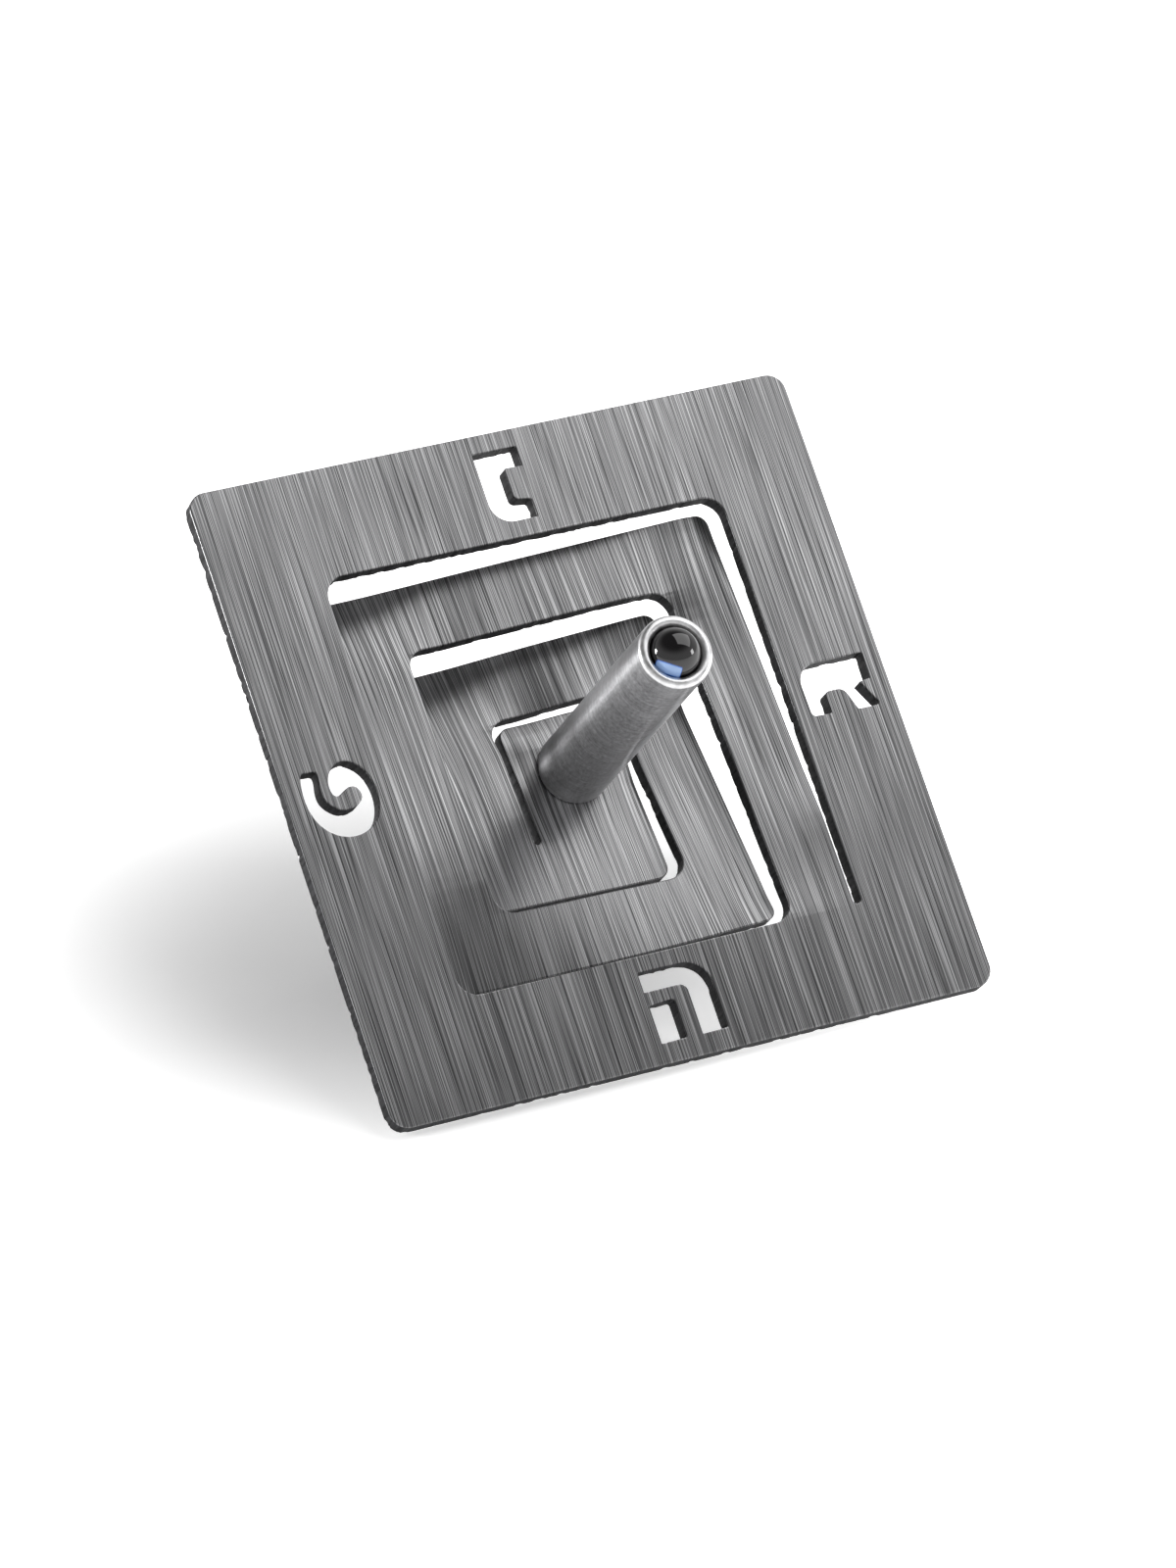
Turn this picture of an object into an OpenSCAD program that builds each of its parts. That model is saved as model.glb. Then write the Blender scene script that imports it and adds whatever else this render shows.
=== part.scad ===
// Dreidel in pressed sheet metal, stored the way it leans on a table.
//
// A single saw line, the kerf, runs round the middle of a square plate as a
// square spiral. It leaves a strip that is pressed down bit by bit, like a
// flat spring pushed out of its plane, and the strip ends in a centre plate
// that hangs below the frame. Two round bars meet on that centre plate, with
// a stud between them. Each bar carries a glass ball in its far end: the
// upper bar is the handle and the lower ball is the tip it spins on.
//
// Plate coordinates: the bars' axis is the origin, +X runs to the right along
// the plate's lower edge, +Y up the plate, +Z out of its face towards the
// handle, and the frame's face is Z = 0. The last step tilts the whole thing
// until the lower edge and the lower bar's rim both stand on the floor.

/* [Plate] */
// Width of the plate from left to right, mm
plate_w = 70; // [60:0.5:80]
// Distance from the bars' axis to the plate's upper edge, mm
plate_top = 36.2; // [30:0.1:42]
// Distance from the bars' axis to the plate's lower edge, mm
plate_bottom = 35.4; // [30:0.1:42]
// Thickness of the sheet, mm
plate_t = 2; // [1:0.5:4]
// Rounding of the plate's four corners, mm
plate_corner_r = 2; // [0.5:0.5:6]

/* [Kerf and strip] */
// Width of the kerf, mm
kerf_w = 0.9; // [0.6:0.1:2]
// Outer edge of the kerf, left and right of the axis, mm
window_side = 23.3; // [20:0.1:26]
// Outer edge of the kerf above the axis, mm
window_top = 24.05; // [20:0.05:26]
// Outer edge of the kerf below the axis, mm
window_bottom = 23.45; // [20:0.05:26]
// Rounding of the kerf's outer corners, mm
kerf_corner_r = 2.3; // [1.2:0.1:4]
// Width of the strip's upright arms, mm
upright_w = 7.05; // [5:0.05:8]
// Width of the strip's level arms, mm
level_w = 7.5; // [5:0.05:8]
// Length of the first arm that stays in the plane of the frame, mm
root_flat = 4; // [2:0.5:20]
// Share of each arm spent on easing in and out of its slope
ease = 0.25; // [0.1:0.05:0.45]

/* [How far the strip is pressed down] */
// First turn, upper right corner, mm below the frame
depth_upper_right_1 = 3; // [0:0.1:12]
// First turn, upper left corner, mm below the frame
depth_upper_left_1 = 5.2; // [0:0.1:12]
// First turn, lower left corner, mm below the frame
depth_lower_left_1 = 3.1; // [0:0.1:12]
// Second turn, lower right corner, mm below the frame
depth_lower_right_2 = 3.6; // [0:0.1:12]
// Second turn, upper right corner, mm below the frame
depth_upper_right_2 = 7.8; // [0:0.1:12]
// Second turn, upper left corner, mm below the frame
depth_upper_left_2 = 9.4; // [0:0.1:12]
// Centre plate, mm below the frame
depth_centre = 7.6; // [0:0.1:12]

/* [Bars and balls] */
// Diameter of the round bar, mm
bar_d = 8; // [6:0.5:12]
// Height of the handle's rim above the frame's face, mm
handle_reach = 28; // [20:0.5:45]
// Distance of the lower bar's rim below the frame's face, mm
tip_reach = 32.4; // [22:0.1:45]
// Diameter of the glass balls, mm
ball_d = 5.5; // [4:0.1:7]
// Distance from a bar's rim down to its ball's centre, mm
ball_sink = 0.9; // [0:0.1:2.5]
// Chamfer on the bar ends that clamp the centre plate, mm
bar_chamfer = 0.3; // [0.1:0.1:1]

/* [Stud] */
// Diameter of the stud that joins the bars, mm
stud_d = 4; // [3:0.5:5]
// Length of stud inside each bar, mm
stud_reach = 8; // [5:0.5:12]
// Extra depth of the holes beyond the stud's ends, mm
stud_hole_extra = 1; // [0.5:0.5:3]
// Radial room between the stud and the centre plate's hole, mm
stud_room = 0.15; // [0.05:0.05:0.5]

/* [Letters] */
// Height of the letters, mm
letter_h = 8; // [6:0.1:9]
// Distance from the axis to the foot of the upper letter, mm
upper_letter_foot = 34.1; // [32:0.1:35]
// Distance from the axis to the foot of the other letters, mm
letter_foot = 33; // [31:0.1:34]

/* [Hidden] */
$fn = 96;
// hair's breadth between a pressed-in ball or stud and its seat
seat_gap = 0.01;
// overshoot of cutting shapes past the faces they cut
cut_over = 1;
// steps that draw the eased slope of one arm
slope_steps = 14;

bar_r = bar_d / 2;
ball_r = ball_d / 2;
stud_r = stud_d / 2;
// the rim is half round, from the bar's outside to the cup's wall
rim_r = (bar_r - ball_r) / 2;
rim_ring_r = bar_r - rim_r;

// plan of the strip, counted inwards from the kerf's outer edge
pitch_x = upright_w + kerf_w;
pitch_y = level_w + kerf_w;
strip1_side = window_side - kerf_w;
strip1_top = window_top - kerf_w;
strip1_bottom = window_bottom - kerf_w;
strip2_side = strip1_side - pitch_x;
strip2_top = strip1_top - pitch_y;
strip2_bottom = strip1_bottom - pitch_y;
centre_side = strip2_side - pitch_x;
centre_top = strip2_top - pitch_y;
strip_corner_r = kerf_corner_r - kerf_w;

// stance on the floor: the plate's lower edge and the lower rim both touch it
stance_run = plate_bottom - rim_ring_r;
stance_drop = tip_reach - rim_r - plate_t;
lean = atan2(stance_drop, stance_run)
    + asin(rim_r / sqrt(stance_run * stance_run + stance_drop * stance_drop));
stance_height = plate_bottom * sin(lean) + plate_t * cos(lean);
stance_front = plate_bottom * cos(lean);
stance_back = plate_top * cos(lean) + plate_t * sin(lean);
stance_shift = (stance_front - stance_back) / 2;

// Sub-parts, each its own closed solid

// Tilts the plate's coordinates into the way the part stands on the floor.
module standing() {
    translate([0, stance_shift, stance_height])
        rotate([lean, 0, 0])
            children();
}

// Flat shape of a box with a radius of its own at each corner, lower left
// first and then anticlockwise; zero leaves a corner sharp.
module cornered_box(x0, y0, x1, y1, r_ll = 0, r_lr = 0, r_ur = 0, r_ul = 0) {
    difference() {
        translate([x0, y0]) square([x1 - x0, y1 - y0]);
        corner_waste(x0, y0, 0, r_ll);
        corner_waste(x1, y0, 90, r_lr);
        corner_waste(x1, y1, 180, r_ur);
        corner_waste(x0, y1, 270, r_ul);
    }
}

// What rounding a corner takes away: a small square with a quarter disc left.
module corner_waste(x, y, turn, r) {
    if (r > 0)
        translate([x, y])
            rotate([0, 0, turn])
                difference() {
                    translate([-cut_over, -cut_over])
                        square([r + cut_over, r + cut_over]);
                    translate([r, r]) circle(r = r);
                }
}

// Solid fillet that fills an inside corner, set in the corner's opening.
module corner_fill(x, y, turn, r) {
    translate([x, y])
        rotate([0, 0, turn])
            difference() {
                square([r, r]);
                translate([r, r]) circle(r = r);
            }
}

// Share of the drop done at share s of an arm: eased, straight, eased.
function eased(s) =
    s < ease ? s * s / (2 * ease * (1 - ease))
    : s > 1 - ease ? 1 - (1 - s) * (1 - s) / (2 * ease * (1 - ease))
    : (s - ease / 2) / (1 - ease);

// Side view of one arm: flat ends and an eased slope between them.
function slope_top(a, b, za, zb, flat_a, flat_b) = concat(
    [[a, za]],
    [for (i = [0:slope_steps])
        let (s = i / slope_steps)
        [
            a + sign(b - a) * flat_a
                + s * (b - a - sign(b - a) * (flat_a + flat_b)),
            za + (zb - za) * eased(s)
        ]],
    [[b, zb]]
);

function reversed(list) = [for (i = [len(list) - 1:-1:0]) list[i]];

module arm_side_view(a, b, za, zb, flat_a, flat_b) {
    top = slope_top(a, b, za, zb, flat_a, flat_b);
    polygon(concat(top, [for (p = reversed(top)) [p[0], p[1] - plate_t]]));
}

// Arm of the strip that runs up or down the plate, from y = a to y = b.
module upright_arm(x0, a, b, za, zb, flat_a, flat_b) {
    translate([x0, 0, 0])
        rotate([90, 0, 90])
            linear_extrude(height = upright_w)
                arm_side_view(a, b, za, zb, flat_a, flat_b);
}

// Arm of the strip that runs across the plate, from x = a to x = b.
module level_arm(y1, a, b, za, zb, flat_a, flat_b) {
    translate([0, y1, 0])
        rotate([90, 0, 0])
            linear_extrude(height = level_w)
                arm_side_view(a, b, za, zb, flat_a, flat_b);
}

// Flat piece of sheet whose face lies at the given depth below the frame.
module sheet_at(depth) {
    translate([0, 0, -depth - plate_t])
        linear_extrude(height = plate_t)
            children();
}

// The opening in the frame: the window less the root of the strip, where the
// strip still grows out of the frame between the kerf's two round ends.
module window_shape() {
    root_edge = -window_bottom + kerf_w / 2;
    difference() {
        cornered_box(-window_side, -window_bottom, window_side, window_top,
            r_ll = kerf_corner_r, r_ur = kerf_corner_r, r_ul = kerf_corner_r);
        difference() {
            translate([strip2_side + kerf_w / 2, -window_bottom - cut_over])
                square([window_side - strip2_side, kerf_w / 2 + cut_over]);
            translate([strip2_side + kerf_w / 2, root_edge])
                circle(d = kerf_w);
            translate([strip1_side + kerf_w / 2, root_edge])
                circle(d = kerf_w);
        }
    }
}

// Nun: foot and head to the left of an upright with a rounded shoulder.
module letter_nun() {
    cornered_box(-0.4, 0, 2.6, letter_h, r_ur = 2.4);
    translate([-2.5, 0]) square([3, 2.2]);
    polygon([[-2.3, letter_h], [0.5, letter_h], [0.5, 5.4], [-2.1, 6]]);
}

// Gimel: a short head to the left, an upright and a slanting foot.
module letter_gimel() {
    cornered_box(0.3, 0, 3.3, letter_h, r_ur = 2);
    translate([-2.5, 5.6]) square([3.2, letter_h - 5.6]);
    polygon([[0.6, 5.9], [0.6, 1.5], [-2.3, 0], [-2.8, 2.4], [-0.7, 3.3], [-0.1, 4.2], [-0.2, 5.2], [-0.7, 5.9]]);
}

// Hei: a roof and right leg in one bent stroke, the left leg on its own.
module letter_hei() {
    difference() {
        cornered_box(-3.8, 0, 4, letter_h, r_ur = 3);
        cornered_box(-3.8 - cut_over, -cut_over, 1.1, 5.7, r_ur = 0.8);
    }
    translate([-3.8, 0]) square([3, 4.4]);
}

// Pe: a round bowl, open low on the left, with its end curled inwards.
module letter_pe() {
    bowl_x = -0.3;
    bowl_y = 4;
    difference() {
        translate([bowl_x, bowl_y]) circle(r = letter_h / 2);
        translate([bowl_x, bowl_y + 0.3]) circle(r = 2);
        translate([bowl_x - letter_h / 2 - cut_over, bowl_y - 1.8])
            square([letter_h / 2 + cut_over, 1.1]);
    }
    translate([bowl_x - 2.3, bowl_y + 0.7]) circle(r = 1.45);
}

// The four letters, each with its head towards the middle of the plate.
module letter_shapes() {
    rotate([0, 0, 180]) translate([0, -upper_letter_foot]) letter_nun();
    rotate([0, 0, 90]) translate([0, -letter_foot]) letter_gimel();
    translate([0, -letter_foot]) letter_hei();
    rotate([0, 0, 270]) translate([0, -letter_foot]) letter_pe();
}

// The frame: the sheet with its window and its cut letters.
module frame_sheet() {
    half_w = plate_w / 2;
    sheet_at(0)
        difference() {
            cornered_box(-half_w, -plate_bottom, half_w, plate_top,
                plate_corner_r, plate_corner_r, plate_corner_r, plate_corner_r);
            window_shape();
            letter_shapes();
        }
}

// First turn of the strip, from the frame round to the lower left.
module first_turn() {
    inner_x = strip1_side - upright_w;
    inner_top = strip1_top - level_w;
    inner_bottom = strip1_bottom - level_w;
    flat = kerf_corner_r;
    upright_arm(inner_x, -window_bottom, inner_top, 0, -depth_upper_right_1,
        root_flat, flat);
    sheet_at(depth_upper_right_1) {
        cornered_box(inner_x, inner_top, strip1_side, strip1_top,
            r_ur = strip_corner_r);
        corner_fill(inner_x, inner_top, 180, kerf_corner_r);
    }
    level_arm(strip1_top, inner_x, -inner_x, -depth_upper_right_1,
        -depth_upper_left_1, flat, flat);
    sheet_at(depth_upper_left_1) {
        cornered_box(-strip1_side, inner_top, -inner_x, strip1_top,
            r_ul = strip_corner_r);
        corner_fill(-inner_x, inner_top, 270, kerf_corner_r);
    }
    upright_arm(-strip1_side, inner_top, -inner_bottom, -depth_upper_left_1,
        -depth_lower_left_1, flat, flat);
    sheet_at(depth_lower_left_1) {
        cornered_box(-strip1_side, -strip1_bottom, -inner_x, -inner_bottom,
            r_ll = strip_corner_r);
        corner_fill(-inner_x, -inner_bottom, 0, kerf_corner_r);
    }
}

// Second turn of the strip, from the lower left round to the centre plate.
module second_turn() {
    outer_x = strip2_side;
    inner_x = strip2_side - upright_w;
    inner_top = strip2_top - level_w;
    inner_bottom = strip2_bottom - level_w;
    flat = kerf_corner_r;
    level_arm(-strip1_bottom + level_w, -strip1_side + upright_w, inner_x,
        -depth_lower_left_1, -depth_lower_right_2, flat, flat);
    sheet_at(depth_lower_right_2) {
        cornered_box(inner_x, -strip1_bottom, outer_x, -strip1_bottom + level_w,
            r_lr = strip_corner_r);
        corner_fill(inner_x, -strip1_bottom + level_w, 90, kerf_corner_r);
    }
    upright_arm(inner_x, -strip1_bottom + level_w, inner_top,
        -depth_lower_right_2, -depth_upper_right_2, flat, flat);
    sheet_at(depth_upper_right_2) {
        cornered_box(inner_x, inner_top, outer_x, strip2_top,
            r_ur = strip_corner_r);
        corner_fill(inner_x, inner_top, 180, kerf_corner_r);
    }
    level_arm(strip2_top, inner_x, -inner_x, -depth_upper_right_2,
        -depth_upper_left_2, flat, flat);
    sheet_at(depth_upper_left_2) {
        cornered_box(-outer_x, inner_top, -inner_x, strip2_top,
            r_ul = strip_corner_r);
        corner_fill(-inner_x, inner_top, 270, kerf_corner_r);
    }
    upright_arm(-outer_x, inner_top, -inner_bottom, -depth_upper_left_2,
        -depth_centre, flat, flat);
}

// Flat end of the strip: the centre plate and the last stretch that joins it.
module centre_plate() {
    joint_top = -(strip2_bottom - level_w);
    kerf_end = joint_top - kerf_w / 2;
    sheet_at(depth_centre)
        difference() {
            union() {
                cornered_box(-strip2_side, -strip2_bottom, centre_side, joint_top,
                    r_ll = strip_corner_r, r_lr = strip_corner_r);
                cornered_box(-centre_side - kerf_w, joint_top - cut_over, centre_side,
                    centre_top, r_ur = strip_corner_r);
            }
            translate([-centre_side - kerf_w, kerf_end])
                square([kerf_w, centre_top + strip2_bottom]);
            translate([-centre_side - kerf_w / 2, kerf_end])
                circle(d = kerf_w);
            corner_waste(-centre_side, centre_top, 270, strip_corner_r);
            circle(r = stud_r + stud_room);
        }
}

// The sheet as one piece: frame, pressed strip and centre plate.
module plate() {
    color("DimGray")
        standing()
            union() {
                frame_sheet();
                first_turn();
                second_turn();
                centre_plate();
            }
}

// Bar standing on Z = 0, cup and half-round rim at its upper end.
module cupped_bar(length) {
    cup_z = length - ball_sink;
    cup_r = ball_r + seat_gap;
    rotate_extrude()
        difference() {
            union() {
                translate([0, bar_chamfer])
                    square([bar_r, length - rim_r - bar_chamfer]);
                polygon([[0, 0], [bar_r - bar_chamfer, 0], [bar_r, bar_chamfer], [0, bar_chamfer]]);
                translate([rim_ring_r, length - rim_r]) circle(r = rim_r);
            }
            intersection() {
                translate([0, cup_z]) circle(r = cup_r);
                translate([0, cup_z - cup_r]) square([cup_r, cup_r]);
            }
            translate([0, cup_z]) square([cup_r, ball_sink + cut_over]);
            translate([0, -cut_over])
                square([stud_r + seat_gap, stud_reach + stud_hole_extra + cut_over]);
        }
}

// The handle, standing on the centre plate's face.
module handle_bar() {
    color("Silver")
        standing()
            translate([0, 0, -depth_centre])
                cupped_bar(handle_reach + depth_centre);
}

// The lower bar, hanging from the centre plate's underside.
module tip_bar() {
    color("Silver")
        standing()
            translate([0, 0, -depth_centre - plate_t])
                rotate([180, 0, 0])
                    cupped_bar(tip_reach - depth_centre - plate_t);
}

// Glass ball pressed into the handle's end.
module handle_ball() {
    color("MidnightBlue")
        standing()
            translate([0, 0, handle_reach - ball_sink])
                sphere(r = ball_r);
}

// Glass ball pressed into the lower bar's end, the tip the dreidel spins on.
module tip_ball() {
    color("MidnightBlue")
        standing()
            translate([0, 0, -tip_reach + ball_sink])
                sphere(r = ball_r);
}

// Stud through the centre plate's hole that pulls the two bars together.
module joining_stud() {
    color("DarkGray")
        standing()
            translate([0, 0, -depth_centre - plate_t - stud_reach])
                cylinder(r = stud_r, h = 2 * stud_reach + plate_t);
}

plate();
handle_bar();
tip_bar();
handle_ball();
tip_ball();
joining_stud();
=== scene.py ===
# %% [markdown]
# # A dreidel in pressed sheet metal
#
# This lesson dresses the plain solids of a metal dreidel so that they look
# like the real one. The dreidel is a square plate that leans on a table. A
# laser cut a single line round its middle, the kerf, as a square spiral, and
# the strip between the turns was then pressed down like a flat spring. A round
# bar stands on the middle of the plate, and a blue glass ball sits in its end.
#
# Everything is in metres. Sizes below are written in millimetres, the way a
# metalworker would, and turned to metres by MM.

# %% Load the solids
import math

import bpy
import numpy as np
from mathutils import Matrix, Vector, noise


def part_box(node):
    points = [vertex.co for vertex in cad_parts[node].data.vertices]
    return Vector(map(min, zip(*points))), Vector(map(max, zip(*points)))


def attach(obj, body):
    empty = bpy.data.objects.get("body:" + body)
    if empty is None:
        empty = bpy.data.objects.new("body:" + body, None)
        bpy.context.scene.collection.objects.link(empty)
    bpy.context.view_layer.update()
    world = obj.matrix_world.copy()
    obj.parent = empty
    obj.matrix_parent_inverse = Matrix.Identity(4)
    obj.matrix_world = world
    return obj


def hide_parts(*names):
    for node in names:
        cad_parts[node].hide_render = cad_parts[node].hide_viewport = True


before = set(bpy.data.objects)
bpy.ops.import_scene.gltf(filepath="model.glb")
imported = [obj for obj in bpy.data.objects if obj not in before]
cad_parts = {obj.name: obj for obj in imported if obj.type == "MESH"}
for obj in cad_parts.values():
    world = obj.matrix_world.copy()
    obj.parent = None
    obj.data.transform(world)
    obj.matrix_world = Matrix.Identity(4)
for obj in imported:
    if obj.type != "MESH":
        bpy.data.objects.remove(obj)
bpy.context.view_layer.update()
MM = 0.001
print("solids:", sorted(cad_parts))

# %% [markdown]
# ## Where the plate lies
#
# The solids lean on the floor at an awkward angle, and drawing on a leaning
# plate is hard. It is easier to make each piece flat on the grid, as on a
# bench, and to lay it on the plate at the end. The two glass balls lie on the
# bars' axis, so they give both the axis and the way from bench to plate. On
# the bench the bars' axis is the origin, X runs right along the plate's lower
# edge, Y up the plate, and Z out of its face towards the handle.

# %% From the bench to the leaning plate
HANDLE_REACH = 28.0  # from the frame's face to the end of the upper bar
BALL_SINK = 0.9  # how far a ball's middle lies inside the bar's end
BALL_R = 2.75
BAR_R = 4.0
CENTRE_DEPTH = 7.6  # how far the middle of the plate is pressed down
SHEET_T = 2.0
TIP_REACH = 32.4  # from the frame's face to the end of the lower bar


def middle(node):
    low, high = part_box(node)
    return (Vector(low) + Vector(high)) / 2


upper, lower = middle("handle_ball"), middle("tip_ball")
plate_normal = (upper - lower).normalized()
plate_right = Vector((1, 0, 0))
plate_up = plate_normal.cross(plate_right)
face_middle = upper - plate_normal * (HANDLE_REACH - BALL_SINK) * MM
BENCH_TO_PLATE = Matrix((
    (plate_right.x, plate_up.x, plate_normal.x, face_middle.x),
    (plate_right.y, plate_up.y, plate_normal.y, face_middle.y),
    (plate_right.z, plate_up.z, plate_normal.z, face_middle.z),
    (0, 0, 0, 1),
))
LEAN = math.atan2(plate_up.z, plate_up.y)
print(f"lean {math.degrees(LEAN):.2f} degrees, face middle {face_middle[:]}")


def deselect():
    if bpy.context.object and bpy.context.object.mode != "OBJECT":
        bpy.ops.object.mode_set(mode="OBJECT")
    bpy.ops.object.select_all(action="DESELECT")


def lay_on_plate(piece):
    """Moves a finished piece from the bench to the plate, and its place into its mesh."""
    deselect()
    piece.select_set(True)
    bpy.context.view_layer.objects.active = piece
    piece.matrix_world = BENCH_TO_PLATE @ piece.matrix_world
    bpy.ops.object.transform_apply(location=True, rotation=True, scale=True)


# %% [markdown]
# ## Drawing the sheet
#
# The maker drew the plate's outline, the kerf and the letters as closed lines,
# and a laser cut along them. Blender can do the same with a flat curve: each
# closed line is one spline, and lines inside lines become holes. One helper
# turns a list of corners with radii into such a line, with an arc at each
# corner.

# %% Closed lines with round corners
def rounded_line(corners, steps=8):
    """Points of a closed line through corners (x, y, radius), in mm."""
    points = []
    count = len(corners)
    for i, (x, y, r) in enumerate(corners):
        here = Vector((x, y))
        before = (Vector(corners[i - 1][:2]) - here).normalized()
        after = (Vector(corners[(i + 1) % count][:2]) - here).normalized()
        if r <= 0:
            points.append(here)
            continue
        half = before.angle(after) / 2
        reach = r / math.tan(half)
        start, end = here + before * reach, here + after * reach
        centre = here + (before + after).normalized() * (r / math.sin(half))
        a0 = math.atan2(start.y - centre.y, start.x - centre.x)
        a1 = math.atan2(end.y - centre.y, end.x - centre.x)
        turn = (a1 - a0 + math.pi) % (2 * math.pi) - math.pi
        for k in range(steps + 1):
            a = a0 + turn * k / steps
            points.append(centre + Vector((math.cos(a), math.sin(a))) * r)
    return points


def smooth_line(points, steps=5):
    """Points of a closed flowing line that passes through all the points given."""
    out = []
    count = len(points)
    for i in range(count):
        p0, p1, p2, p3 = (Vector(points[(i + k - 1) % count]) for k in range(4))
        for k in range(steps):
            t = k / steps
            out.append(0.5 * ((2 * p1) + (p2 - p0) * t + (2 * p0 - 5 * p1 + 4 * p2 - p3) * t * t
                              + (3 * p1 - p0 - 3 * p2 + p3) * t * t * t))
    return out


# %% [markdown]
# The kerf is a line 0.9 mm wide that turns left at every corner. Its two sides
# are the centre line moved half a kerf to the right and to the left. The outer
# corners are rounder than the inner ones, as a beam that swings round them
# leaves them, and the two ends are half circles.

# %% The spiral kerf
KERF = 0.9
OUTER_R, INNER_R = 2.3, 1.4
spiral = [Vector(p) for p in (
    (22.85, -23.0), (22.85, 23.6), (-22.85, 23.6), (-22.85, -23.0), (14.9, -23.0), (14.9, 15.2),
    (-14.9, 15.2), (-14.9, -14.6), (6.95, -14.6), (6.95, 6.8), (-6.95, 6.8), (-6.95, -7.1))]


def kerf_line():
    h = KERF / 2
    end_r = h * 0.999  # a hair under half the kerf, so that the two arcs of an end don't touch
    ways = [(b - a).normalized() for a, b in zip(spiral, spiral[1:])]
    left = [Vector((-w.y, w.x)) for w in ways]
    right_side, left_side = [], []
    first = spiral[0] - ways[0] * h
    last = spiral[-1] + ways[-1] * h
    right_side.append((*(first - left[0] * h), end_r))
    for i in range(1, len(spiral) - 1):
        right_side.append((*(spiral[i] - (left[i - 1] + left[i]) * h), OUTER_R))
        left_side.append((*(spiral[i] + (left[i - 1] + left[i]) * h), INNER_R))
    right_side.append((*(last - left[-1] * h), end_r))
    left_side.append((*(last + left[-1] * h), end_r))
    closing = [(*(first + left[0] * h), end_r)]
    return rounded_line(right_side + left_side[-1:] + left_side[-2::-1] + closing)


# %% [markdown]
# The letters are the four traditional marks of the game, drawn as plain block
# forms. Three of them are straight strokes with rounded shoulders. The fourth
# is a bowl with a curl, so its line flows through a handful of points. Each
# stands with its head towards the middle of the plate.

# %% The four cut letters
letter_lines = [
    # nun, at the top
    rounded_line([(-2.55, 34.1, 0.1), (2.5, 34.1, 0.15), (2.5, 31.9, 0.1), (0.4, 31.95, 0.3),
                  (0.4, 28.3, 0.7), (2.3, 28.05, 0.3), (2.35, 26.0, 0.15), (-2.55, 25.95, 2.4)]),
    # gimel, on the right
    rounded_line([(25.1, -2.35, 0.5), (27.3, -2.5, 0.15), (27.3, 0.0, 0.6), (29.6, 0.0, 1.1),
                  (30.5, -2.65, 0.3), (33.15, -2.7, 0.3), (31.6, 0.25, 0.1), (32.9, 0.4, 0.1),
                  (32.95, 3.35, 0.15), (25.0, 3.35, 2.2)]),
    # hei, at the bottom, is two openings
    rounded_line([(-3.75, -25.2, 0.05), (4.0, -25.15, 2.9), (4.0, -33.1, 0.15), (1.1, -33.15, 0.1),
                  (1.1, -27.4, 0.9), (-3.75, -27.4, 0.05)]),
    rounded_line([(-3.7, -28.9, 0.1), (-0.8, -28.75, 0.3), (-0.8, -33.1, 0.15), (-3.7, -33.15, 0.1)]),
    # pe, on the left
    smooth_line([(-32.5, 3.8), (-31.7, 3.85), (-30.95, 3.75), (-30.85, 3.1), (-31.05, 2.0),
                 (-31.0, 0.9), (-30.5, 0.0), (-29.6, -0.75), (-28.6, -0.95), (-27.6, -0.7),
                 (-26.85, -0.1), (-26.75, 0.6), (-27.1, 1.3), (-27.8, 1.45), (-28.5, 1.15),
                 (-29.3, 0.75), (-29.8, 1.1), (-29.9, 2.1), (-29.6, 3.1), (-28.9, 3.9), (-27.9, 4.3),
                 (-26.9, 4.05), (-25.9, 3.2), (-25.3, 2.0), (-25.05, 0.5), (-25.25, -1.1),
                 (-26.0, -2.6), (-27.4, -3.6), (-29.0, -3.85), (-30.6, -3.4), (-31.9, -2.3),
                 (-32.65, -0.9), (-32.95, 0.8), (-32.85, 2.5)]),
]

# %% [markdown]
# The curve gets half the sheet's thickness on each side, less a fine bevel of
# 0.12 mm, because a deburred edge catches the light as a thin bright line. Its
# straight runs get a point every 0.6 mm, for the ragged back edge that comes
# next. It is then turned into a mesh.

# %% Cut the sheet
EDGE = 0.12
RUN_STEP = 0.6


def with_steps(line):
    """The same closed line with points added along its straight runs."""
    out = []
    for here, after in zip(line, line[1:] + line[:1]):
        count = max(1, round((after - here).length / RUN_STEP))
        out += [here.lerp(after, k / count) for k in range(count)]
    return out


PLATE_BOX = (-35.0, -35.4, 35.0, 36.2)
CORNER_R = 2
drawing = bpy.data.curves.new("sheet_drawing", "CURVE")
drawing.dimensions = "2D"
drawing.fill_mode = "BOTH"
drawing.extrude = (SHEET_T / 2 - EDGE) * MM
drawing.bevel_depth = EDGE * MM
drawing.bevel_resolution = 1
drawing.offset = -EDGE * MM
x0, y0, x1, y1 = PLATE_BOX
outline = rounded_line([(x, y, CORNER_R) for x, y in ((x0, y0), (x1, y0), (x1, y1), (x0, y1))])
for line in [outline, kerf_line()] + letter_lines:
    line = with_steps(line)
    spline = drawing.splines.new("POLY")
    spline.points.add(len(line) - 1)
    for point, place in zip(spline.points, line):
        point.co = (place.x * MM, place.y * MM, 0, 1)
    spline.use_cyclic_u = True

plate = bpy.data.objects.new("pressed_plate", drawing)
bpy.context.collection.objects.link(plate)
deselect()
plate.select_set(True)
bpy.context.view_layer.objects.active = plate
bpy.ops.object.convert(target="MESH")
bpy.ops.object.mode_set(mode="EDIT")
bpy.ops.mesh.select_all(action="SELECT")
bpy.ops.mesh.remove_doubles(threshold=0.000001)
bpy.ops.mesh.normals_make_consistent(inside=False)
print("cut sheet:", len(plate.data.vertices), "points")

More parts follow.
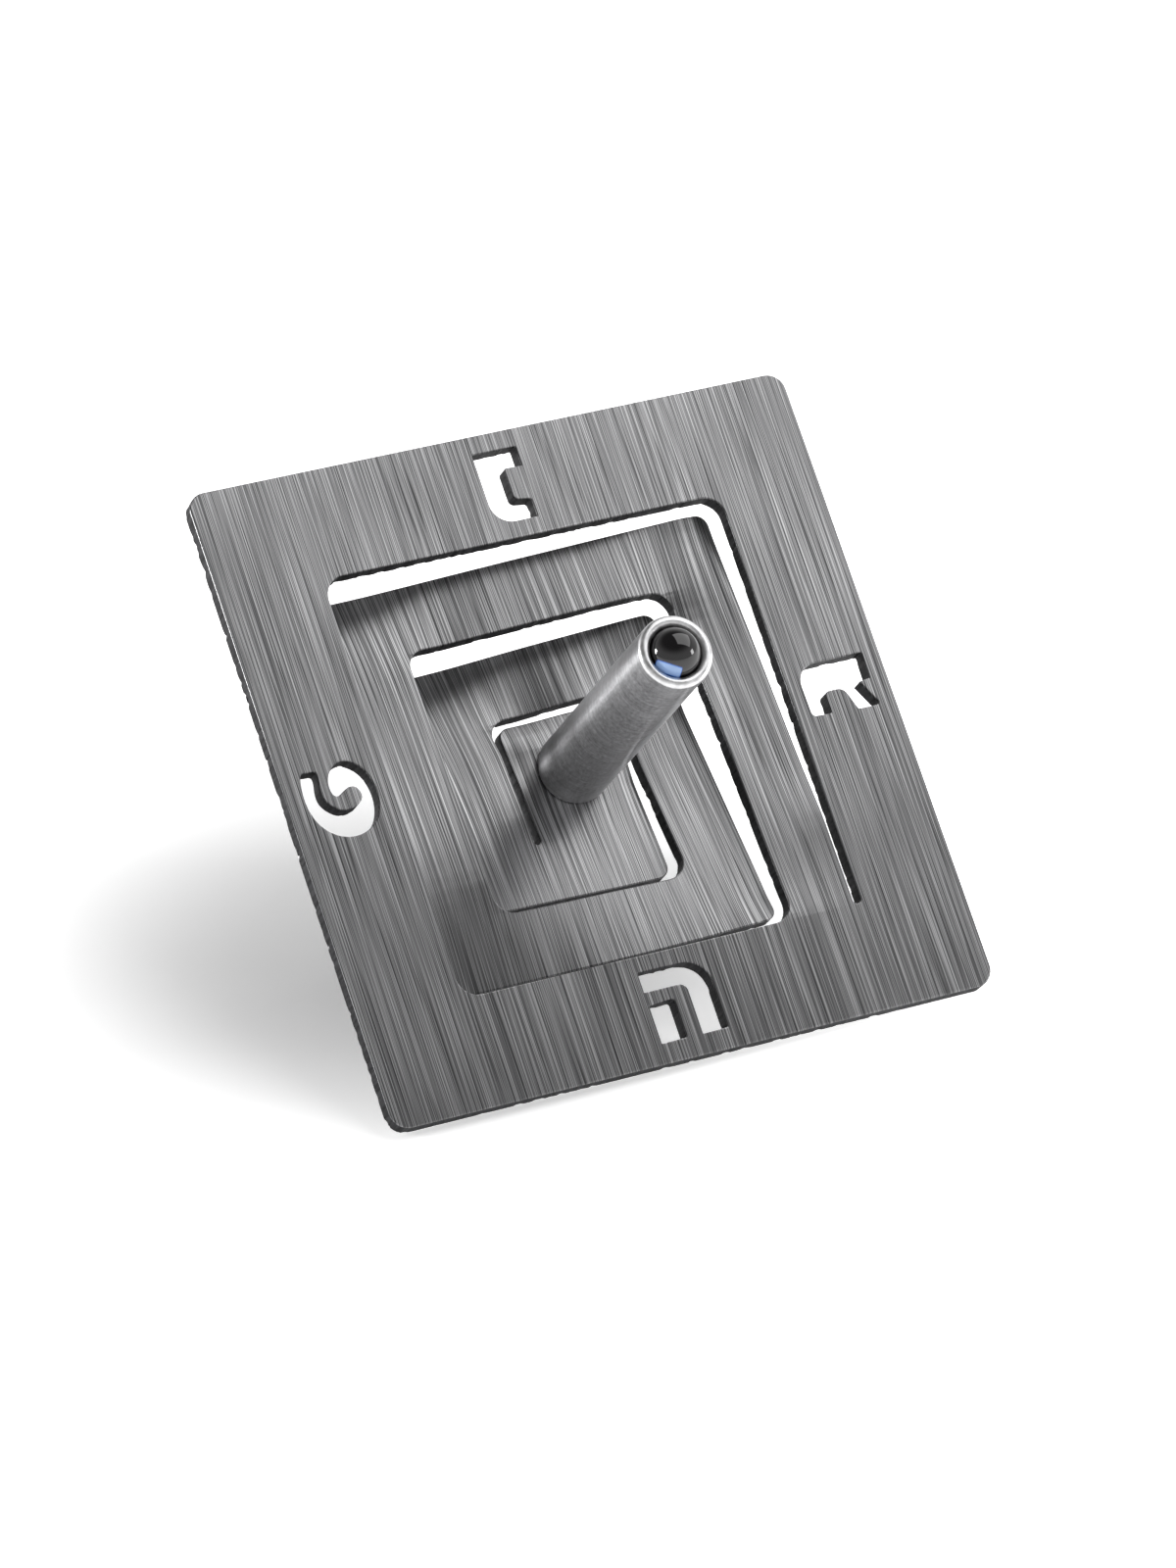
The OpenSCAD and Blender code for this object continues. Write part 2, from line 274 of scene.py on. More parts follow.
# %% [markdown]
# ## Pressing the strip down
#
# A flat sheet with points only along its edges can't bend, so it is sliced
# both ways. The slices follow a net of lines: five cells across each arm of
# the strip, with the kerf as a narrow gap in the net. They run through the
# middles of the net's cells, clear of the kerf's walls. The same net will
# carry the depths.

# %% A net over the sheet
# the frame's inner edge, in mm from the axis, and the way from one turn of the kerf to the next
WINDOW = {"side": 23.3, "top": 24.05, "bottom": 23.45}
PITCH = {"side": 7.95, "top": 8.4, "bottom": 8.4}
CELLS = 5
CENTRE_LINES = 9
NET_EDGE = 26.0


def arms(way):
    """Outer and inner edge of the first and the second arm on one side, in mm from the axis."""
    first, second = WINDOW[way] - KERF, WINDOW[way] - PITCH[way] - KERF
    return (first, WINDOW[way] - PITCH[way]), (second, WINDOW[way] - 2 * PITCH[way])


def net_lines(low, high):
    """Lines of the net from the low side of the plate to the high side."""
    lines = [-NET_EDGE, -WINDOW[low]]
    for outer, inner in arms(low):
        lines += list(np.linspace(-outer, -inner, CELLS + 1))
    centre = (-arms(low)[1][1] + KERF, arms(high)[1][1] - KERF)
    lines += list(np.linspace(*centre, CENTRE_LINES))
    for outer, inner in reversed(arms(high)):
        lines += list(np.linspace(inner, outer, CELLS + 1))
    return np.array(lines + [WINDOW[high], NET_EDGE])


net_x = net_lines("side", "side")
net_y = net_lines("bottom", "top")
kerf_end = spiral[-1].y - KERF / 2
net_y[np.argmin(abs(net_y - kerf_end))] = kerf_end
print("net:", len(net_x), "by", len(net_y), "lines")

# %% Slice the sheet along the net
for lines, axis in ((net_x, (1, 0, 0)), (net_y, (0, 1, 0))):
    middles = (lines[1:] + lines[:-1]) / 2
    for place in middles:
        bpy.ops.mesh.select_all(action="SELECT")
        bpy.ops.mesh.bisect(plane_co=tuple(c * place * MM for c in axis), plane_no=axis)
bpy.ops.object.mode_set(mode="OBJECT")
print("sliced sheet:", len(plate.data.vertices), "points")

# %% [markdown]
# The cutting beam came from the front and left the back edges ragged: small
# bites are missing all along them. Smooth noise along the edge, with only its
# crests used, gives bites at uneven distances. They are at most 0.2 mm deep.

# %% Bite the back edges
CRESTS_PER_MM = 1.3
CREST_FLOOR = 0.12
BITE, DEEPEST_BITE = 0.6, 0.2
EDGE_LEAN = 0.2  # sideways part of the normal from which a point counts as one of an edge
bites = 0
for v in plate.data.vertices:
    sideways = v.normal.xy
    at_back = v.co.z < -(SHEET_T / 2 - 1.5 * EDGE) * MM
    if at_back and sideways.length > EDGE_LEAN:
        crest = noise.noise(v.co / MM * CRESTS_PER_MM) - CREST_FLOOR
        if crest > 0:
            v.co.xy = v.co.xy - sideways.normalized() * min(crest * BITE, DEEPEST_BITE) * MM
            bites += 1
print("points bitten at the back edges:", bites)

# %% [markdown]
# Which cells are metal? All but those in the kerf. A box round each stretch of
# the kerf's centre line, half a kerf wider on all sides, answers that.

# %% Cells of metal
middle_x = (net_x[1:] + net_x[:-1]) / 2
middle_y = (net_y[1:] + net_y[:-1]) / 2
metal = np.ones((len(middle_x), len(middle_y)), dtype=bool)
for a, b in zip(spiral, spiral[1:]):
    low = (min(a.x, b.x) - KERF / 2, min(a.y, b.y) - KERF / 2)
    high = (max(a.x, b.x) + KERF / 2, max(a.y, b.y) + KERF / 2)
    in_x = (middle_x > low[0]) & (middle_x < high[0])
    in_y = (middle_y > low[1]) & (middle_y < high[1])
    metal &= ~np.outer(in_x, in_y)
print("cells of metal:", int(metal.sum()), "cells of kerf:", int((~metal).sum()))

# %% [markdown]
# The depths come from the photograph. Seen at an angle, an edge that lies
# deeper is shifted sideways, and the shift gives its depth. Each line below is
# one edge of the strip: the way it runs, its place on the drawing, and pairs
# of a point along it and the depth there, all in mm.

# %% Depths along the strip's edges
SEEN_EDGES = [
    # first turn: right, top, left and bottom arm
    ("x", 22.4, (-20, 0.0), (-13, 0.1), (-8, 0.9), (8.6, 2.25), (21, 3.3)),
    ("x", 15.35, (-20, 0.45), (2, 2.3), (12, 3.55)),
    ("y", 23.15, (20, 2.5), (-2, 4.45), (-17.3, 6.15)),
    ("y", 15.65, (10, 2.5), (-2.4, 3.85), (-11.8, 5.0)),
    ("x", -15.35, (12.7, 4.0), (-11.3, 2.6)),
    ("y", -22.55, (-20, 3.5), (0, 3.3), (7, 2.7), (12.8, 1.9)),
    ("y", -15.05, (-12.6, 3.1), (3.9, 4.35)),
    # second turn: right, top and left arm
    ("x", 14.45, (-19, 3.0), (4, 7.8)),
    ("x", 7.4, (-11.6, 5.05), (-1, 7.45)),
    ("y", 14.75, (12, 7.0), (0, 8.95), (-9.3, 10.9)),
    ("y", 7.25, (3, 7.2), (-4.1, 9.0)),
    ("x", -7.4, (4, 7.5), (-4.2, 6.45)),
    # centre plate: right, top and left edge
    ("x", 6.5, (-2.7, 8.4), (-11, 7.25)),
    ("y", 6.35, (1.5, 8.2), (-4, 9.1)),
    ("x", -6.5, (4.3, 8.4), (-2, 7.45)),
]

# %% [markdown]
# Metal doesn't bend sharply unless it must. Of all the shapes that pass
# through those edges, the strip takes the one that bends least. Each row of
# the sum below is one wish: this stretch of the net stays straight, this cell
# doesn't twist, this point has that depth. Least squares then finds the depths
# that meet all the wishes best. The frame stays at zero, and the middle stays
# flat where the bars clamp it.

# %% The shape that bends least
# a trace of pull towards zero keeps the sum solvable where no wish reaches
TRACE = 1e-9
net_shape = (len(net_x), len(net_y))
pull = np.eye(net_shape[0] * net_shape[1]) * TRACE
goal = np.zeros(net_shape[0] * net_shape[1])
wish_count = 0


def wish(target, *terms):
    """The terms (column, row, factor) should add up to the target: one row of the sum."""
    global wish_count
    wish_count += 1
    for i, j, factor in terms:
        here = i * net_shape[1] + j
        goal[here] += factor * target
        for k, m, other in terms:
            pull[here, k * net_shape[1] + m] += factor * other


def joined(i, j, along_x):
    """Is the stretch of net from point (i, j) to the next one metal?"""
    sides = [(i, j - 1), (i, j)] if along_x else [(i - 1, j), (i, j)]
    return any(0 <= a < metal.shape[0] and 0 <= b < metal.shape[1] and metal[a, b] for a, b in sides)


for i in range(net_shape[0]):
    for j in range(net_shape[1]):
        for along_x, line, k in ((True, net_x, i), (False, net_y, j)):
            di, dj = (1, 0) if along_x else (0, 1)
            if 0 < k < len(line) - 1 and joined(i - di, j - dj, along_x) and joined(i, j, along_x):
                before, after = line[k] - line[k - 1], line[k + 1] - line[k]
                wish(0, (i - di, j - dj, 1 / before), (i, j, -1 / before - 1 / after),
                     (i + di, j + dj, 1 / after))
for i, j in np.argwhere(metal):
    area = (net_x[i + 1] - net_x[i]) * (net_y[j + 1] - net_y[j])
    twist = math.sqrt(2 / area)
    wish(0, (i, j, twist), (i + 1, j, -twist), (i, j + 1, -twist), (i + 1, j + 1, twist))

# %% Hold the frame, the middle and the edges that can be seen
CLAMP_R = 4.7
FIRM, SEEN = 1000.0, 3.0  # how much a held point and a seen edge count
PAIR_REACH = 0.8  # how far past its first and last pair an edge still counts, in mm
for i, x in enumerate(net_x):
    for j, y in enumerate(net_y):
        if abs(x) >= WINDOW["side"] or not -WINDOW["bottom"] < y < WINDOW["top"]:
            wish(0, (i, j, FIRM))
        elif math.hypot(x, y) < CLAMP_R:
            wish(FIRM * CENTRE_DEPTH, (i, j, FIRM))
for runs, place, *pairs in SEEN_EDGES:
    points, depths = zip(*sorted(pairs))
    across, along = (net_x, net_y) if runs == "x" else (net_y, net_x)
    fixed = int(np.argmin(abs(across - place)))
    for k, p in enumerate(along):
        if points[0] - PAIR_REACH <= p <= points[-1] + PAIR_REACH:
            i, j = (fixed, k) if runs == "x" else (k, fixed)
            wish(SEEN * float(np.interp(p, points, depths)), (i, j, SEEN))

depth_net = np.linalg.solve(pull, goal).reshape(net_shape)
print(f"{wish_count} wishes for {depth_net.size} points, deepest {depth_net.max():.1f} mm")

# %% [markdown]
# Each point of the sheet now takes its depth from the cell that it lies in,
# between the four corners. A point on a kerf's wall takes the nearest cell of
# its own side. The hollow of a round kerf corner is the one place where the
# nearest cell lies across the kerf, so such a point looks for its cell further
# out.

# %% Press
BEND_R = (OUTER_R + INNER_R) / 2


def out_of_hollow(p):
    for before, corner, after in zip(spiral, spiral[1:], spiral[2:]):
        inward = (before - corner).normalized() + (after - corner).normalized()
        off = p - corner
        in_square = 0 <= off.x * inward.x < BEND_R and 0 <= off.y * inward.y < BEND_R
        if in_square and (off - inward * BEND_R).length > BEND_R:
            return p - inward * BEND_R
    return p


def cell_of(p):
    """The metal cell nearest to a point."""
    near = out_of_hollow(p)
    i0 = int(np.clip(np.searchsorted(net_x, near.x) - 1, 0, metal.shape[0] - 1))
    j0 = int(np.clip(np.searchsorted(net_y, near.y) - 1, 0, metal.shape[1] - 1))
    choices = []
    for i in range(max(i0 - 1, 0), min(i0 + 2, metal.shape[0])):
        for j in range(max(j0 - 1, 0), min(j0 + 2, metal.shape[1])):
            if metal[i, j]:
                gap_x = max(net_x[i] - near.x, near.x - net_x[i + 1], 0)
                gap_y = max(net_y[j] - near.y, near.y - net_y[j + 1], 0)
                choices.append((math.hypot(gap_x, gap_y), i, j))
    return min(choices)[1:]


def depth_at(p):
    if abs(p.x) > NET_EDGE or abs(p.y) > NET_EDGE:
        return 0.0
    i, j = cell_of(p)
    s = (p.x - net_x[i]) / (net_x[i + 1] - net_x[i])
    t = (p.y - net_y[j]) / (net_y[j + 1] - net_y[j])
    (low_left, up_left), (low_right, up_right) = depth_net[i:i + 2, j:j + 2]
    return (1 - t) * ((1 - s) * low_left + s * low_right) + t * ((1 - s) * up_left + s * up_right)


lowest = 0.0
for v in plate.data.vertices:
    depth = depth_at(v.co.xy / MM)
    lowest = max(lowest, depth)
    v.co.z -= (depth + SHEET_T / 2) * MM
print(f"strip pressed down by up to {lowest:.1f} mm")

# %% [markdown]
# The laser leaves the walls darker and rougher than the brushed faces, so the
# walls get a material slot of their own. They are the faces that look
# sideways.

# %% Tell walls from faces
STEEPEST_FACE = 0.35  # upward part of a face's normal; what has less is a wall
FACE_SLOT, WALL_SLOT = 0, 1
for face in plate.data.polygons:
    face.material_index = WALL_SLOT if abs(face.normal.z) < STEEPEST_FACE else FACE_SLOT
deselect()
plate.select_set(True)
bpy.context.view_layer.objects.active = plate
bpy.ops.object.shade_smooth_by_angle(angle=math.radians(14))
lay_on_plate(plate)
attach(plate, "root")
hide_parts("plate")
print("plate faces:", len(plate.data.polygons))

# %% [markdown]
# ## The turned bars
#
# Both bars came off a lathe: a round bar, faced at one end, with a cup bored
# in the other and its rim rounded over and polished. In Blender a cylinder is
# the bar stock. Its top face is inset to mark the cup's wall, pushed down to
# bore the cup, and the two edges of the rim are bevelled until they meet as a
# half circle.

# %% Turn a bar
CUP_PLAY = 0.01
CUP_DEPTH, CUP_CONE = 2.6, 0.9
FOOT_EDGE = 0.3
RIM_W = BAR_R - BALL_R - CUP_PLAY


def select_rings(bar, height, radii):
    """Selects the edges of the circles at one height with the radii given, in mm."""
    bpy.ops.object.mode_set(mode="EDIT")
    bpy.ops.mesh.select_mode(type="EDGE")
    bpy.ops.mesh.select_all(action="DESELECT")
    bpy.ops.object.mode_set(mode="OBJECT")
    points = bar.data.vertices
    for edge in bar.data.edges:
        a, b = (points[i].co for i in edge.vertices)
        flat = all(abs(p.z - height * MM) < 0.01 * MM for p in (a, b))
        same = any(all(abs(p.xy.length - r * MM) < 0.02 * MM for p in (a, b)) for r in radii)
        edge.select = flat and same
    bpy.ops.object.mode_set(mode="EDIT")


def turned_bar(name, length):
    """A bar standing on the bench at the origin, cup upwards."""
    deselect()
    bpy.ops.mesh.primitive_cylinder_add(vertices=128, radius=BAR_R * MM, depth=length * MM,
                                        location=(0, 0, length * MM / 2))
    bar = bpy.context.object
    bar.name = name
    bpy.ops.object.transform_apply(location=True, rotation=True, scale=True)
    bpy.ops.object.mode_set(mode="EDIT")
    bpy.ops.mesh.select_mode(type="FACE")
    bpy.ops.mesh.select_all(action="DESELECT")
    bpy.ops.object.mode_set(mode="OBJECT")
    top = max(bar.data.polygons, key=lambda f: f.center.z)
    top.select = True
    bpy.ops.object.mode_set(mode="EDIT")
    bpy.ops.mesh.inset(thickness=RIM_W * MM, use_even_offset=True)
    bpy.ops.mesh.extrude_region_move(TRANSFORM_OT_translate={"value": (0, 0, -CUP_DEPTH * MM)})
    bpy.ops.mesh.inset(thickness=CUP_CONE * MM)
    bpy.ops.transform.translate(value=(0, 0, -CUP_CONE * MM))
    # the two round edges of the rim, each a hair under half its width, then the foot's edge
    select_rings(bar, length, (BAR_R, BALL_R + CUP_PLAY))
    bpy.ops.mesh.bevel(offset=RIM_W / 2 * 0.98 * MM, offset_type="OFFSET", segments=8, profile=0.5)
    select_rings(bar, 0.0, (BAR_R,))
    bpy.ops.mesh.bevel(offset=FOOT_EDGE * MM, offset_type="OFFSET", segments=3, profile=0.5)
    bpy.ops.object.mode_set(mode="OBJECT")
    bpy.ops.object.shade_smooth_by_angle(angle=math.radians(30))
    return bar


handle = turned_bar("turned_handle", HANDLE_REACH + CENTRE_DEPTH)
handle.location.z = -CENTRE_DEPTH * MM
lay_on_plate(handle)
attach(handle, "root")
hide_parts("handle_bar")

tip = turned_bar("turned_tip", TIP_REACH - CENTRE_DEPTH - SHEET_T)
tip.rotation_euler.x = math.pi
tip.location.z = -(CENTRE_DEPTH + SHEET_T) * MM
lay_on_plate(tip)
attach(tip, "root")
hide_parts("tip_bar")
print("bars:", len(handle.data.polygons), "and", len(tip.data.polygons), "faces")

# %% [markdown]
# ## The glass balls
#
# A ball made from a cube has even faces all over, with no pinched poles to
# spoil a reflection. The cube is subdivided, blown up to a sphere, and moved
# to its cup. The second ball is a copy with its own mesh.

# %% Blow the balls
CUTS = 23  # 24 by 24 faces on each side of the cube


def glass_ball(name, height):
    deselect()
    bpy.ops.mesh.primitive_cube_add(size=2 * BALL_R * MM, location=(0, 0, 0))
    ball = bpy.context.object
    ball.name = name
    bpy.ops.object.mode_set(mode="EDIT")
    bpy.ops.mesh.select_all(action="SELECT")
    bpy.ops.mesh.subdivide(number_cuts=CUTS)
    bpy.ops.transform.tosphere(value=1.0)
    bpy.ops.object.mode_set(mode="OBJECT")
    reach = np.mean([v.co.length for v in ball.data.vertices])
    for v in ball.data.vertices:
        v.co = v.co.normalized() * BALL_R * MM
    bpy.ops.object.shade_smooth()
    ball.location.z = height * MM
    print(f"{name}: to-sphere radius {reach / MM:.2f} mm, trued to {BALL_R} mm")
    return ball


upper_ball = glass_ball("glass_handle_ball", HANDLE_REACH - BALL_SINK)
lower_ball = glass_ball("glass_tip_ball", -TIP_REACH + BALL_SINK)
for ball, node in ((upper_ball, "handle_ball"), (lower_ball, "tip_ball")):
    lay_on_plate(ball)
    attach(ball, "root")
    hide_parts(node)

# %% [markdown]
# ## Finishes
#
# Colours are picked as hex values, the way a paint or photo editor shows them,
# and turned to the linear numbers that Blender's shaders want. One small
# helper adds a node, sets it and wires it up.

# %% Colour and node helpers
def linear(hex_code):
    values = [int(hex_code[i:i + 2], 16) / 255 for i in (1, 3, 5)]
    return tuple(v / 12.92 if v <= 0.04045 else ((v + 0.055) / 1.055) ** 2.4 for v in values) + (1.0,)


def add(tree, kind, settings=None, links=None):
    """Adds a node; settings name its properties or sockets, links give a socket its source."""
    node = tree.nodes.new(kind)
    for name, value in (settings or {}).items():
        if isinstance(name, int) or name in node.inputs:
            node.inputs[name].default_value = value
        else:
            setattr(node, name, value)
    for name, (source, output) in (links or {}).items():
        tree.links.new(source.outputs[output], node.inputs[name])
    return node


def new_finish(name):
    material = bpy.data.materials.new(name)
    material.use_nodes = True
    material.node_tree.nodes.clear()
    return material, material.node_tree


def bench_place(tree):
    """Object coordinates turned back to the bench: X right, Y up the plate, Z out of it."""
    place = add(tree, "ShaderNodeTexCoord")
    turned = BENCH_TO_PLATE.inverted()
    return add(tree, "ShaderNodeMapping",
               {"vector_type": "POINT", "Location": turned.to_translation(), "Rotation": (-LEAN, 0, 0)},
               {"Vector": (place, "Object")})


def ramp_colours(node, stops):
    ramp = node.color_ramp
    while len(ramp.elements) < len(stops):
        ramp.elements.new(0.5)
    for element, (position, colour) in zip(ramp.elements, stops):
        element.position = position
        element.color = colour
    return node


def bench_noise(tree, bench, per_mm, detail):
    """Noise with this many cells to a millimetre along the bench's X, Y and Z."""
    spread = add(tree, "ShaderNodeMapping", {"Scale": [count / MM for count in per_mm]},
                 {"Vector": (bench, "Vector")})
    return add(tree, "ShaderNodeTexNoise", {"Scale": 1.0, "Detail": detail},
               {"Vector": (spread, "Vector")})


# %% [markdown]
# ### Brushed aluminium sheet
#
# The sheet went up and down a sanding belt, which leaves fine straight
# scratches along Y. Noise that is squeezed across and stretched along gives
# them. Real grit lines are 0.05 mm wide, too fine to show, so the finest here
# are 0.08 mm across, with two coarser sets over them: a belt has a few big
# grains among the small ones. A scratch is darker at its bottom and its sides
# lean, so the same noise drives the colour, the roughness and a bump. The bump
# spreads highlights across the scratches, which the eye reads as brushed. A
# last noise, of which only the lowest values count, adds single deep grooves.

# %% Brushed sheet
brushed, tree = new_finish("brushed_aluminium_sheet")
bench = bench_place(tree)


def streaks(tree, bench, width_mm, length_mm, seed):
    stretched = add(tree, "ShaderNodeMapping",
                    {"vector_type": "POINT", "Location": (seed, seed, 0),
                     "Scale": (1 / (width_mm * MM), 1 / (length_mm * MM), 0)},
                    {"Vector": (bench, "Vector")})
    return add(tree, "ShaderNodeTexNoise", {"Scale": 1.0, "Detail": 1.0, "Roughness": 0.5},
               {"Vector": (stretched, "Vector")})


def blend(tree, share, first, second):
    """One value from two: the second one's share runs from 0 to 1."""
    return add(tree, "ShaderNodeMix", {"data_type": "FLOAT", 0: share}, {2: first, 3: second})


fine = streaks(tree, bench, 0.08, 24, 3.7)
medium = streaks(tree, bench, 0.13, 36, 11.3)
coarse = streaks(tree, bench, 0.6, 40, 23.9)
cloud = streaks(tree, bench, 9, 22, 5.1)
deep = streaks(tree, bench, 0.22, 16, 41.7)
scratches = blend(tree, 0.4, (fine, "Fac"), (medium, "Fac"))
tone = blend(tree, 0.03, (scratches, 0), (coarse, "Fac"))
tone = blend(tree, 0.05, (tone, 0), (cloud, "Fac"))
shade = ramp_colours(add(tree, "ShaderNodeValToRGB", links={"Fac": (tone, 0)}),
                     [(0.36, linear("#404041")), (0.5, linear("#747475")), (0.64, linear("#AEAEAF"))])
gloss = add(tree, "ShaderNodeMapRange",
            {"From Min": 0.35, "From Max": 0.65, "To Min": 0.36, "To Max": 0.28}, {"Value": (tone, 0)})
bump = add(tree, "ShaderNodeBump", {"Strength": 0.5, "Distance": 0.00003}, {"Height": (scratches, 0)})
groove = add(tree, "ShaderNodeMapRange",
             {"From Min": 0.3, "From Max": 0.4, "To Min": 0.45, "To Max": 1.0}, {"Value": (deep, "Fac")})
grooved = add(tree, "ShaderNodeVectorMath", {"operation": "SCALE"},
              {0: (shade, "Color"), "Scale": (groove, "Result")})
shader = add(tree, "ShaderNodeBsdfPrincipled", {"Metallic": 1.0},
             {"Base Color": (grooved, "Vector"), "Roughness": (gloss, "Result"),
              "Normal": (bump, "Normal")})
add(tree, "ShaderNodeOutputMaterial", links={"Surface": (shader, "BSDF")})

# %% [markdown]
# ### Laser-cut edge
#
# A laser melts its way through, so the cut walls are darker than the faces,
# with fine upright ripples where the beam stepped forward, here 0.3 mm apart.

# %% Cut edge
cut_edge, tree = new_finish("laser_cut_edge")
bench = bench_place(tree)
ripple = bench_noise(tree, bench, (3.3, 3.3, 0.3), 2.0)
shade = ramp_colours(add(tree, "ShaderNodeValToRGB", links={"Fac": (ripple, "Fac")}),
                     [(0.3, linear("#1A1A1B")), (0.7, linear("#404042"))])
bump = add(tree, "ShaderNodeBump", {"Strength": 0.5, "Distance": 0.00005}, {"Height": (ripple, "Fac")})
shader = add(tree, "ShaderNodeBsdfPrincipled", {"Metallic": 0.9, "Roughness": 0.7},
             {"Base Color": (shade, "Color"), "Normal": (bump, "Normal")})
add(tree, "ShaderNodeOutputMaterial", links={"Surface": (shader, "BSDF")})
plate.data.materials.append(brushed)
plate.data.materials.append(cut_edge)

# %% [markdown]
# ### Turned and polished bar
#
# The bar keeps the lathe's fine rings, 0.15 mm apart, and a satin shine. Rings
# spread a reflection along the bar and not round it, so a lamp at its side
# draws one soft bright line from end to end. The shader is told the bar's own
# direction and stretches its highlights that way, which it calls anisotropic.
# The bar's rim was polished afterwards and mirrors the room, so the rim's faces
# get a second, smoother finish.

# %% Bar finishes
satin, tree = new_finish("turned_aluminium_satin")
bench = bench_place(tree)
rings = bench_noise(tree, bench, (0.12, 0.12, 6.6), 3.0)
grain = bench_noise(tree, bench, (2.5, 2.5, 2.5), 2.0)
turned = blend(tree, 0.5, (rings, "Fac"), (grain, "Fac"))
shade = ramp_colours(add(tree, "ShaderNodeValToRGB", links={"Fac": (turned, 0)}),
                     [(0.3, linear("#98989A")), (0.7, linear("#C4C4C6"))])
gloss = add(tree, "ShaderNodeMapRange",
            {"From Min": 0.3, "From Max": 0.7, "To Min": 0.3, "To Max": 0.38}, {"Value": (turned, 0)})
bump = add(tree, "ShaderNodeBump", {"Strength": 0.1, "Distance": 0.00002}, {"Height": (turned, 0)})
axis = add(tree, "ShaderNodeCombineXYZ", dict(zip("XYZ", BENCH_TO_PLATE.to_3x3().col[2])))
shader = add(tree, "ShaderNodeBsdfPrincipled", {"Metallic": 1.0, "Anisotropic": 0.8},
             {"Base Color": (shade, "Color"), "Roughness": (gloss, "Result"), "Normal": (bump, "Normal"),
              "Tangent": (axis, "Vector")})
add(tree, "ShaderNodeOutputMaterial", links={"Surface": (shader, "BSDF")})

polished, tree = new_finish("polished_aluminium_rim")
bench = bench_place(tree)
scuff = bench_noise(tree, bench, (0.9, 0.9, 0.9), 3.0)
shade = ramp_colours(add(tree, "ShaderNodeValToRGB", links={"Fac": (scuff, "Fac")}),
                     [(0.35, linear("#C4C4C5")), (0.65, linear("#E6E6E7"))])
gloss = add(tree, "ShaderNodeMapRange",
            {"From Min": 0.3, "From Max": 0.7, "To Min": 0.28, "To Max": 0.44},
            {"Value": (scuff, "Fac")})
shader = add(tree, "ShaderNodeBsdfPrincipled", {"Metallic": 1.0},
             {"Base Color": (shade, "Color"), "Roughness": (gloss, "Result")})
add(tree, "ShaderNodeOutputMaterial", links={"Surface": (shader, "BSDF")})

RIM_BAND = 0.62  # how far the rounding reaches down from the bar's end
SATIN_SLOT, RIM_SLOT = 0, 1
plate_to_bench = BENCH_TO_PLATE.inverted()
for bar, far_end in ((handle, HANDLE_REACH), (tip, -TIP_REACH)):
    bar.data.materials.append(satin)
    bar.data.materials.append(polished)
    for face in bar.data.polygons:
        from_end = abs((plate_to_bench @ face.center).z - far_end * MM)
        face.material_index = RIM_SLOT if from_end < RIM_BAND * MM else SATIN_SLOT

# %% [markdown]
# ### Cobalt glass
#
# The balls are cobalt glass so deep in colour that they look black, and the
# polished surface mirrors the lamps. Dense optical glass bends light at 1.6,
# which gives it a stronger mirror than window glass. Low on one side, light that
# passes through the glass gathers as a patch of clearer blue with a navy border.
# This is painted light, painted into the glass's colour. It is drawn as a box on
# the ball's surface: how far along the patch a point lies, and how far across it.

# %% Glass
glass, tree = new_finish("cobalt_glass")
bench = bench_place(tree)
from_ball = add(tree, "ShaderNodeVectorMath",
                {"operation": "SUBTRACT", 1: (0, 0, (HANDLE_REACH - BALL_SINK) * MM)},
                {0: (bench, "Vector")})


def painted_light_side(direction, middle_mm, half_mm, border_mm):
    """1 inside the painted light patch and 0 outside it, measured along one direction."""
    along = add(tree, "ShaderNodeVectorMath", {"operation": "DOT_PRODUCT", 1: direction},
                {0: (from_ball, "Vector")})
    off = add(tree, "ShaderNodeMath", {"operation": "SUBTRACT", 1: middle_mm * MM},
              {0: (along, "Value")})
    off = add(tree, "ShaderNodeMath", {"operation": "ABSOLUTE"}, {0: (off, 0)})
    return add(tree, "ShaderNodeMapRange",
               {"interpolation_type": "SMOOTHSTEP", "From Min": (half_mm - border_mm) * MM,
                "From Max": (half_mm + border_mm) * MM, "To Min": 1.0, "To Max": 0.0},
               {"Value": (off, 0)})


# where the painted light patch's sides lie on the bench, found from its corners in the photograph
painted_light_long = painted_light_side((0.794, -0.580, 0.182), -0.11, 1.38, 0.12)
painted_light_wide = painted_light_side((-0.474, -0.779, -0.412), 1.72, 0.56, 0.2)
painted_light_patch = add(tree, "ShaderNodeMath", {"operation": "MULTIPLY"},
           {0: (painted_light_long, "Result"), 1: (painted_light_wide, "Result")})
swirl = bench_noise(tree, bench, (0.5, 0.5, 0.5), 1.0)
clouded_painted_light = blend(tree, 0.12, (painted_light_patch, 0), (swirl, "Fac"))
# the blues are painted light through the glass; the near-black ends are the glass's own colour
shade = ramp_colours(add(tree, "ShaderNodeValToRGB", links={"Fac": (clouded_painted_light, 0)}),
                     [(0.03, linear("#050406")), (0.1, linear("#0D090C")), (0.3, linear("#0C1A5A")),
                      (0.62, linear("#5E96F4")), (0.9, linear("#A6CAFF"))])
shader = add(tree, "ShaderNodeBsdfPrincipled", {"Roughness": 0.03, "IOR": 1.6},
             {"Base Color": (shade, "Color")})
add(tree, "ShaderNodeOutputMaterial", links={"Surface": (shader, "BSDF")})
for ball in (upper_ball, lower_ball):
    ball.data.materials.append(glass)

# %% [markdown]
# ### Stud steel
#
# The stud between the bars hardly shows. It keeps its solid and gets a plain
# drawn steel with faint lines along it.

